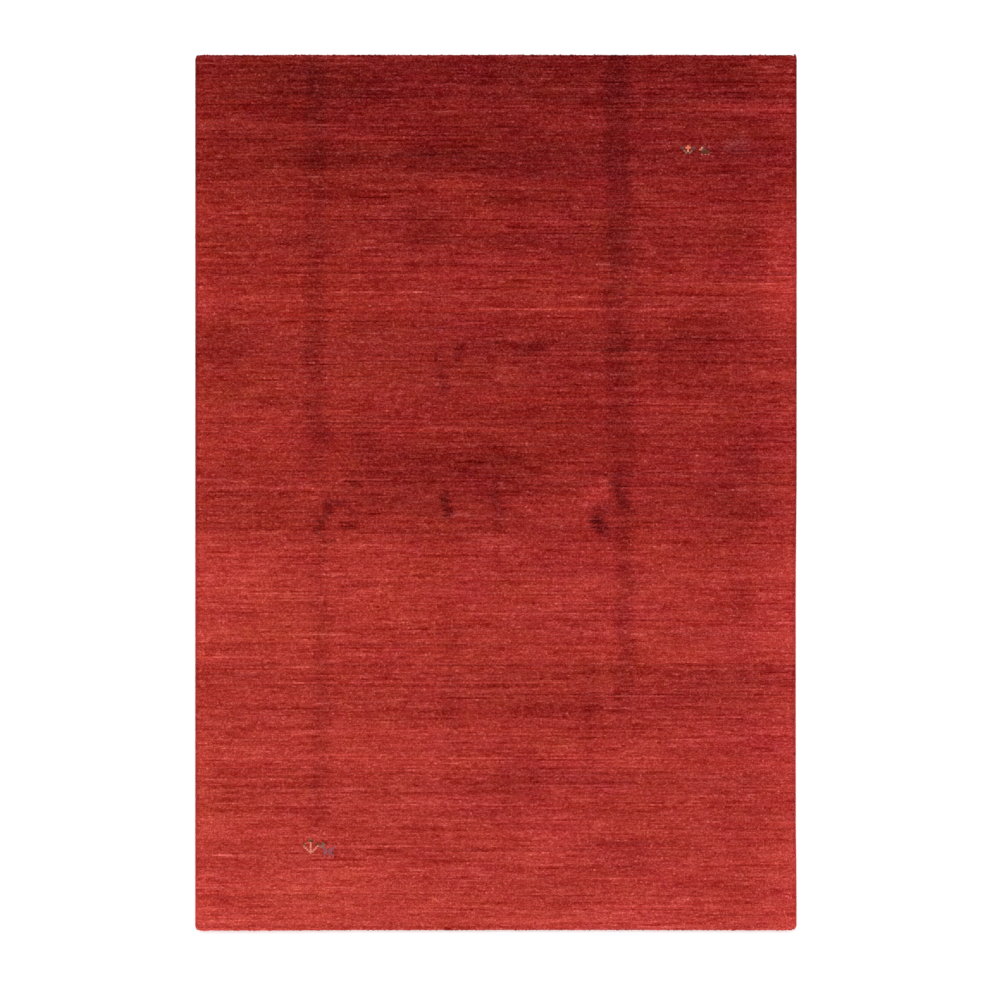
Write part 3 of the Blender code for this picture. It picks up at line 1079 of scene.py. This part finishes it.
class RUG_OT_cords(Operator):
    """Overcasts both side cords with slanting wraps of yarn"""

    bl_idname = "rug.overcast_cords"
    bl_label = "Overcast the side cords"

    sides = 12
    stations = 400
    probe_level = 0.0030
    probe_margin = 0.0001
    wrap_swell = 0.00015
    swell_spread = 0.00012
    shade_spread = 0.012
    run_spread = 0.014
    run_wraps = 14
    tip_shrink = 0.0012
    middle_share = 0.46
    end_bend = 0.0030
    end_length = 0.0100

    def execute(self, context):
        for side, sign in (("left", -1), ("right", 1)):
            self.overcast(side, sign)
        return {"FINISHED"}

    def overcast(self, side, sign):
        sizes, plan = bpy.context.scene.rug_cords, RugPieces.knots()
        rng = np.random.default_rng(40 + sign)
        solid = Solid("side_cord_" + side)
        length = solid.high.y - solid.low.y
        wraps = round(length / sizes.wrap_pitch)
        shape = swept_ring(self.sides, 2 * wraps)
        material = RugPieces.material("cord", cord_material)
        mesh = new_piece("overcast_cord_" + side, shape, material, ["side_cord_" + side])
        ring = read_points(mesh)
        middles, _, _ = face_middles(mesh, ring)
        beside = plan.shade[:, :6] if sign < 0 else plan.shade[:, -6:]
        wrap_y = np.linspace(solid.low.y, solid.high.y, wraps + 1)
        shades = np.interp(wrap_y, plan.tip_y[:, 0], running_mean(beside.mean(axis=1), 9))
        single = rng.normal(0.0, self.shade_spread, wraps + 1)
        shades += single + self.run_spread * yarn_runs(rng, (1, wraps + 1), self.run_wraps)[0]
        wrap_of = np.clip((middles[:, 1] / 2).astype(int), 0, wraps)
        keep_numbers(mesh, "yarn_shade", "FACE", shades[wrap_of])
        crest = np.round(ring[:, 1]).astype(int) % 2
        # For the painted shade: 1 on each wrap's crest, 0 in the groove beside it.
        keep_numbers(mesh, "tuft_height", "POINT", crest)
        settle(mesh, self.wound(solid, sign, ring, crest, wraps, sizes, rng))

    def wound(self, solid, sign, ring, crest, wraps, sizes, rng):
        """Puts each ring where the solid cord runs, full on a wrap and narrow in the groove beside it."""
        span = solid.high.y - solid.low.y
        share = np.linspace(0.0, 1.0, self.stations)
        near = np.concatenate([share * 0.02, share, 1.0 - share * 0.02])
        places = np.unique(solid.low.y + self.probe_margin + (span - 2 * self.probe_margin) * near)
        outer = np.array([solid.side(sign, y, self.probe_level) for y in places])
        inner = np.array([solid.meets((0.0, y, self.probe_level), (sign, 0, 0)).x for y in places])
        top = np.array([solid.top((a + b) / 2, y) for a, b, y in zip(inner, outer, places)])
        full = ring[:, 1] / (2 * wraps)
        y = solid.low.y + span * full
        y = y + sizes.wrap_slant * ring[:, 0] * sign * np.clip(40 * np.minimum(full, 1 - full), 0, 1)
        outer, inner, top = (np.interp(y, places, line) for line in (outer, inner, top))
        number = np.round(ring[:, 1]).astype(int)
        uneven = rng.normal(0.0, self.swell_spread, 2 * wraps + 1)[number]
        swell = np.where(crest > 0, self.wrap_swell, -sizes.wrap_relief) + uneven
        from_tip = np.minimum(number, 2 * wraps - number)
        swell = np.where(from_tip == 0, -self.tip_shrink, swell)
        half = np.abs(outer - inner) / 2 + swell
        bend = self.end_bend * smooth(1.0 - np.minimum(full, 1.0 - full) * span / self.end_length)
        if sign > 0:
            bend *= full < 0.5
        x = (outer + inner) / 2 + half * ring[:, 0] - sign * bend
        z = top * self.middle_share + (top * (1.0 - self.middle_share) + swell) * ring[:, 2]
        return np.stack([x, y, np.maximum(z, 0.0)], axis=1)


class RUG_OT_ends(Operator):
    """Turns the flat-woven ends under and stitches them down"""

    bl_idname = "rug.turn_ends"
    bl_label = "Turn and stitch the ends"

    sides = 8
    deep = 0.0030
    side_inset = 0.0012
    probe_level = 0.0020
    middle_share = 0.46
    rib_swell = 0.0001
    groove_depth = 0.0003
    swell_spread = 0.00008
    over_base = 0.0002
    # Painted light: the turned ends are made lighter against the shadow that the rim tufts cast on them.
    painted_light_lift = 0.06
    shade_spread = 0.012
    stitch_inset = 0.0060
    stitch_scatter = 0.0006
    stitch_lap = 0.0012
    lap_spread = 0.0001
    stitch_slant = 0.25
    slant_spread = 0.15
    stitch_half = (0.00055, 0.0016, 0.0021)
    stitch_level = 0.0031
    stitch_dye = (0.20, 0.016, 0.014)
    warp_start = 0.6745
    warp_length = 0.0170
    warp_last = 0.6885
    warp_steps = 16
    warp_radius = 0.0008
    warp_level = 0.0036

    def execute(self, context):
        for end, sign in (("bottom", -1), ("top", 1)):
            self.turn_end(end, sign)
        self.stitch_ends()
        self.show_bare_warp()
        return {"FINISHED"}

    def turn_end(self, end, sign):
        """The fold of one end: ribs of weft over the warps, drawn across the rug."""
        cloth, sizes = bpy.context.scene.rug_cloth, bpy.context.scene.rug_cords
        plan = RugPieces.knots()
        rng = np.random.default_rng(60 + sign)
        low, high = CLOTH_LOW.x + self.side_inset, CLOTH_HIGH.x - self.side_inset
        ribs = round((high - low) / sizes.rib_pitch)
        shape = swept_ring(self.sides, 2 * ribs)
        material = RugPieces.material("end", end_material)
        mesh = new_piece("turned_end_" + end, shape, material, ["rug_field"])
        ring = read_points(mesh)
        crest = np.round(ring[:, 1]).astype(int) % 2
        x = low + (high - low) * ring[:, 1] / (2 * ribs)
        lines = np.linspace(low, high, 300)
        outline = np.interp(x, lines, [plan.solid.end(sign, place, self.probe_level) for place in lines])
        outline -= sign * corner_inset(np.minimum(x - low, high - x), cloth.corner_radius - self.side_inset)
        uneven = rng.normal(0.0, self.swell_spread, 2 * ribs + 1)[np.round(ring[:, 1]).astype(int)]
        swell = np.where(crest > 0, self.rib_swell, -self.groove_depth) + uneven
        height = cloth.base_thickness + self.over_base
        y = outline - sign * self.deep / 2 + (self.deep / 2 + swell) * ring[:, 0] * sign
        half_height = height * (1.0 - self.middle_share) + swell
        z = np.maximum(height * self.middle_share + half_height * ring[:, 2], 0.0)
        middles, _, _ = face_middles(mesh, ring)
        row = 0 if sign < 0 else plan.rows - 1
        knot = np.clip((middles[:, 1] / (2 * ribs) * plan.columns).astype(int), 0, plan.columns - 1)
        # Lifted as painted light, against the rim tufts' shadow.
        shades = running_mean(plan.shade[row], 13)[knot] + self.painted_light_lift
        by_place = np.lexsort(middles.round(3).T)
        shades[by_place] += rng.normal(0.0, self.shade_spread, len(knot))
        keep_numbers(mesh, "yarn_shade", "FACE", shades)
        # For the painted shade: 1 on each rib's crest, 0 in the groove beside it.
        keep_numbers(mesh, "tuft_height", "POINT", crest)
        settle(mesh, np.stack([x, y, z], axis=1))

    def stitch_ends(self):
        """Short slanting stitches of dark yarn over the fold of each end."""
        sizes = bpy.context.scene.rug_cords
        plan = RugPieces.knots()
        rng = np.random.default_rng(71)
        each_end = round((CLOTH_HIGH.x - CLOTH_LOW.x - 2 * self.stitch_inset) / sizes.stitch_pitch)
        count = 2 * each_end
        sign = np.repeat((-1.0, 1.0), each_end)
        number = np.tile(np.arange(each_end), 2)
        x = CLOTH_LOW.x + self.stitch_inset + (number + 0.5) * sizes.stitch_pitch
        x = x + rng.normal(0.0, self.stitch_scatter, count)
        outline = np.array([plan.solid.end(way, place, self.probe_level) for way, place in zip(sign, x)])
        y = outline - sign * rng.normal(self.stitch_lap, self.lap_spread, count)
        shape = bmesh.new()
        bmesh.ops.create_icosphere(shape, subdivisions=1, radius=1.0)
        points_each = len(shape.verts)
        material = RugPieces.material("stitch", plain_yarn_material, "stitch_yarn", self.stitch_dye)
        mesh = new_piece("end_stitches", repeated(shape, count), material, [])
        spin = rng.normal(self.stitch_slant, self.slant_spread, count).repeat(points_each)
        points = turned(read_points(mesh) * self.stitch_half, 0.0, 0.0, spin)
        place = np.stack([x, y, np.full(count, self.stitch_level)], axis=1)
        settle(mesh, points + place.repeat(points_each, axis=0))

    def show_bare_warp(self):
        """A short length of undyed warp that peeps out of the top end beside the right cord."""
        plan = RugPieces.knots()
        wools = bpy.context.scene.rug_wools
        shape = swept_ring(self.sides, self.warp_steps)
        material = RugPieces.material("bare_warp", plain_yarn_material, "bare_warp", tuple(wools.undyed))
        mesh = new_piece("bare_warp", shape, material, [])
        ring = read_points(mesh)
        share = ring[:, 1] / self.warp_steps
        tapered = np.sqrt(np.clip(1.0 - (2 * share - 1) ** 8, 0.04, 1.0))
        thick = self.warp_radius * tapered * (0.8 + 0.25 * share)
        x = self.warp_start + self.warp_length * share
        reached = np.clip(x, 0.0, self.warp_last)
        end = np.array([plan.solid.end(1, place, self.probe_level) for place in reached])
        y = end + 0.0001 + 0.0005 * np.sin(share * 5.0) + thick * ring[:, 0]
        z = self.warp_level + 0.0005 * np.sin(share * 4.0 + 1.0) + thick * ring[:, 2]
        settle(mesh, np.stack([x, y, z], axis=1))


class RUG_OT_base(Operator):
    """Weaves the base under the pile, with the backs of the knots on its underside"""

    bl_idname = "rug.weave_base"
    bl_label = "Weave the base"

    wide_cells = 24
    end_drawn_in = 0.0016
    side_drawn_in = 0.0002

    def execute(self, context):
        cloth = context.scene.rug_cloth
        plan = RugPieces.knots()
        lines = 2 * (plan.rows // 2)
        shape, _, _ = walled_grid((self.wide_cells, lines), (1.0, lines), 1.0)
        close_grid(shape)
        material = RugPieces.material("base", base_material)
        mesh = new_piece("woven_base", shape, material, ["rug_field"])
        grid = read_points(mesh)
        line = np.round(grid[:, 1]).astype(int)
        row = np.clip(line, 0, plan.rows - 1)
        knot = np.clip((grid[:, 0] * plan.columns).astype(int), 0, plan.columns - 1)
        across = np.apply_along_axis(running_mean, 1, plan.shade, 15)
        evened = np.apply_along_axis(running_mean, 0, across, 5)
        keep_numbers(mesh, "yarn_shade", "POINT", evened[row, knot])
        low, high = CLOTH_LOW.y + self.end_drawn_in, CLOTH_HIGH.y - self.end_drawn_in
        places = np.linspace(low, high, lines + 1)
        left, right = plan.solid.sides(places, cloth.base_thickness / 2)
        to_end = np.minimum(places - low, high - places)
        inset = self.side_drawn_in + corner_inset(to_end, cloth.corner_radius)
        left, right = left + inset, right - inset
        x = left[line] + (right - left)[line] * grid[:, 0]
        groove = np.where(line % 2 == 0, cloth.back_relief, 0.0)
        z = np.where(grid[:, 2] > 0.5, cloth.base_thickness, groove)
        write_points(mesh, np.stack([x, places[line], z], axis=1))
        return {"FINISHED"}


class RUG_OT_stage(Operator):
    """Lays the floor, hangs the soft lamps and sets the camera straight above"""

    bl_idname = "rug.set_stage"
    bl_label = "Set the stage"

    lamps = (
        ("lamp_left", (-3.6, 1.2, 4.2), 1.1),
        ("lamp_right", (3.6, 0.6, 4.2), 0.9),
        ("lamp_head", (0.0, 4.2, 4.0), 1.5),
        ("lamp_foot", (0.4, -4.2, 4.0), 0.6),
    )
    lamp_size = 2.6
    floor_drop = 0.0003
    picture_level = 0.0040

    def execute(self, context):
        stage = context.scene.rug_stage
        self.lay_floor(stage)
        for name, place, share in self.lamps:
            self.hang_lamp(name, place, share * stage.lamp_power)
        self.light_sky(context.scene, stage)
        self.set_camera(context.scene, stage)
        context.scene.view_settings.view_transform = "Standard"
        return {"FINISHED"}

    def lay_floor(self, stage):
        shape = bmesh.new()
        bmesh.ops.create_grid(shape, x_segments=8, y_segments=8, size=stage.floor_size / 2)
        bmesh.ops.translate(shape, verts=shape.verts, vec=(0.0, 0.0, -self.floor_drop))
        mesh = bpy.data.meshes.new("floor")
        shape.to_mesh(mesh)
        shape.free()
        mesh.materials.append(floor_material())
        floor = bpy.data.objects.new("floor", mesh)
        bpy.context.scene.collection.objects.link(floor)
        floor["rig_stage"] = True

    def hang_lamp(self, name, place, power):
        light = bpy.data.lights.new(name, "AREA")
        light.energy = power
        light.size = self.lamp_size
        lamp = bpy.data.objects.new(name, light)
        lamp.location = place
        lamp.rotation_euler = (-Vector(place)).to_track_quat("-Z", "Y").to_euler()
        lamp.visible_camera = False
        bpy.context.scene.collection.objects.link(lamp)

    def light_sky(self, scene, stage):
        world = bpy.data.worlds.new("studio")
        world.use_nodes = True
        sky = world.node_tree.nodes["Background"]
        sky.inputs["Color"].default_value = (1.0, 1.0, 1.0, 1.0)
        sky.inputs["Strength"].default_value = stage.sky
        scene.world = world

    def set_camera(self, scene, stage):
        data = bpy.data.cameras.new("camera")
        data.lens = stage.lens
        height = self.picture_level + stage.view_width * stage.lens / data.sensor_width
        data.clip_end = 4 * height
        camera = bpy.data.objects.new("camera", data)
        camera.location = (0.0, stage.view_offset, height)
        scene.collection.objects.link(camera)
        scene.camera = camera


class RUG_PT_panel(Panel):
    """Lists the steps that make the rug, and the sizes and colours they read."""

    bl_idname = "RUG_PT_panel"
    bl_label = "Gabbeh rug"
    bl_space_type = "VIEW_3D"
    bl_region_type = "UI"
    bl_category = "Rug"

    def draw(self, context):
        for operator in OPERATORS:
            self.layout.operator(operator.bl_idname)
        for name, group in GROUPS.items():
            box = self.layout.box()
            for setting in group.__annotations__:
                box.prop(getattr(context.scene, name), setting)


GROUPS = {
    "rug_cloth": ClothSizes,
    "rug_cords": CordSizes,
    "rug_wools": WoolColours,
    "rug_stage": StageSizes,
}
OPERATORS = (RUG_OT_base, RUG_OT_pile, RUG_OT_rim, RUG_OT_cords, RUG_OT_ends, RUG_OT_stage)
CLASSES = (*GROUPS.values(), *OPERATORS, RUG_PT_panel)


def register():
    for made in CLASSES:
        bpy.utils.register_class(made)
    for name, group in GROUPS.items():
        setattr(bpy.types.Scene, name, PointerProperty(type=group))


def unregister():
    for name in GROUPS:
        delattr(bpy.types.Scene, name)
    for made in reversed(CLASSES):
        bpy.utils.unregister_class(made)


def main():
    register()
    bpy.ops.rug.weave_base()
    bpy.ops.rug.knot_pile()
    bpy.ops.rug.stand_rim_tufts()
    bpy.ops.rug.overcast_cords()
    bpy.ops.rug.turn_ends()
    bpy.ops.rug.set_stage()


if __name__ == "__main__":
    main()
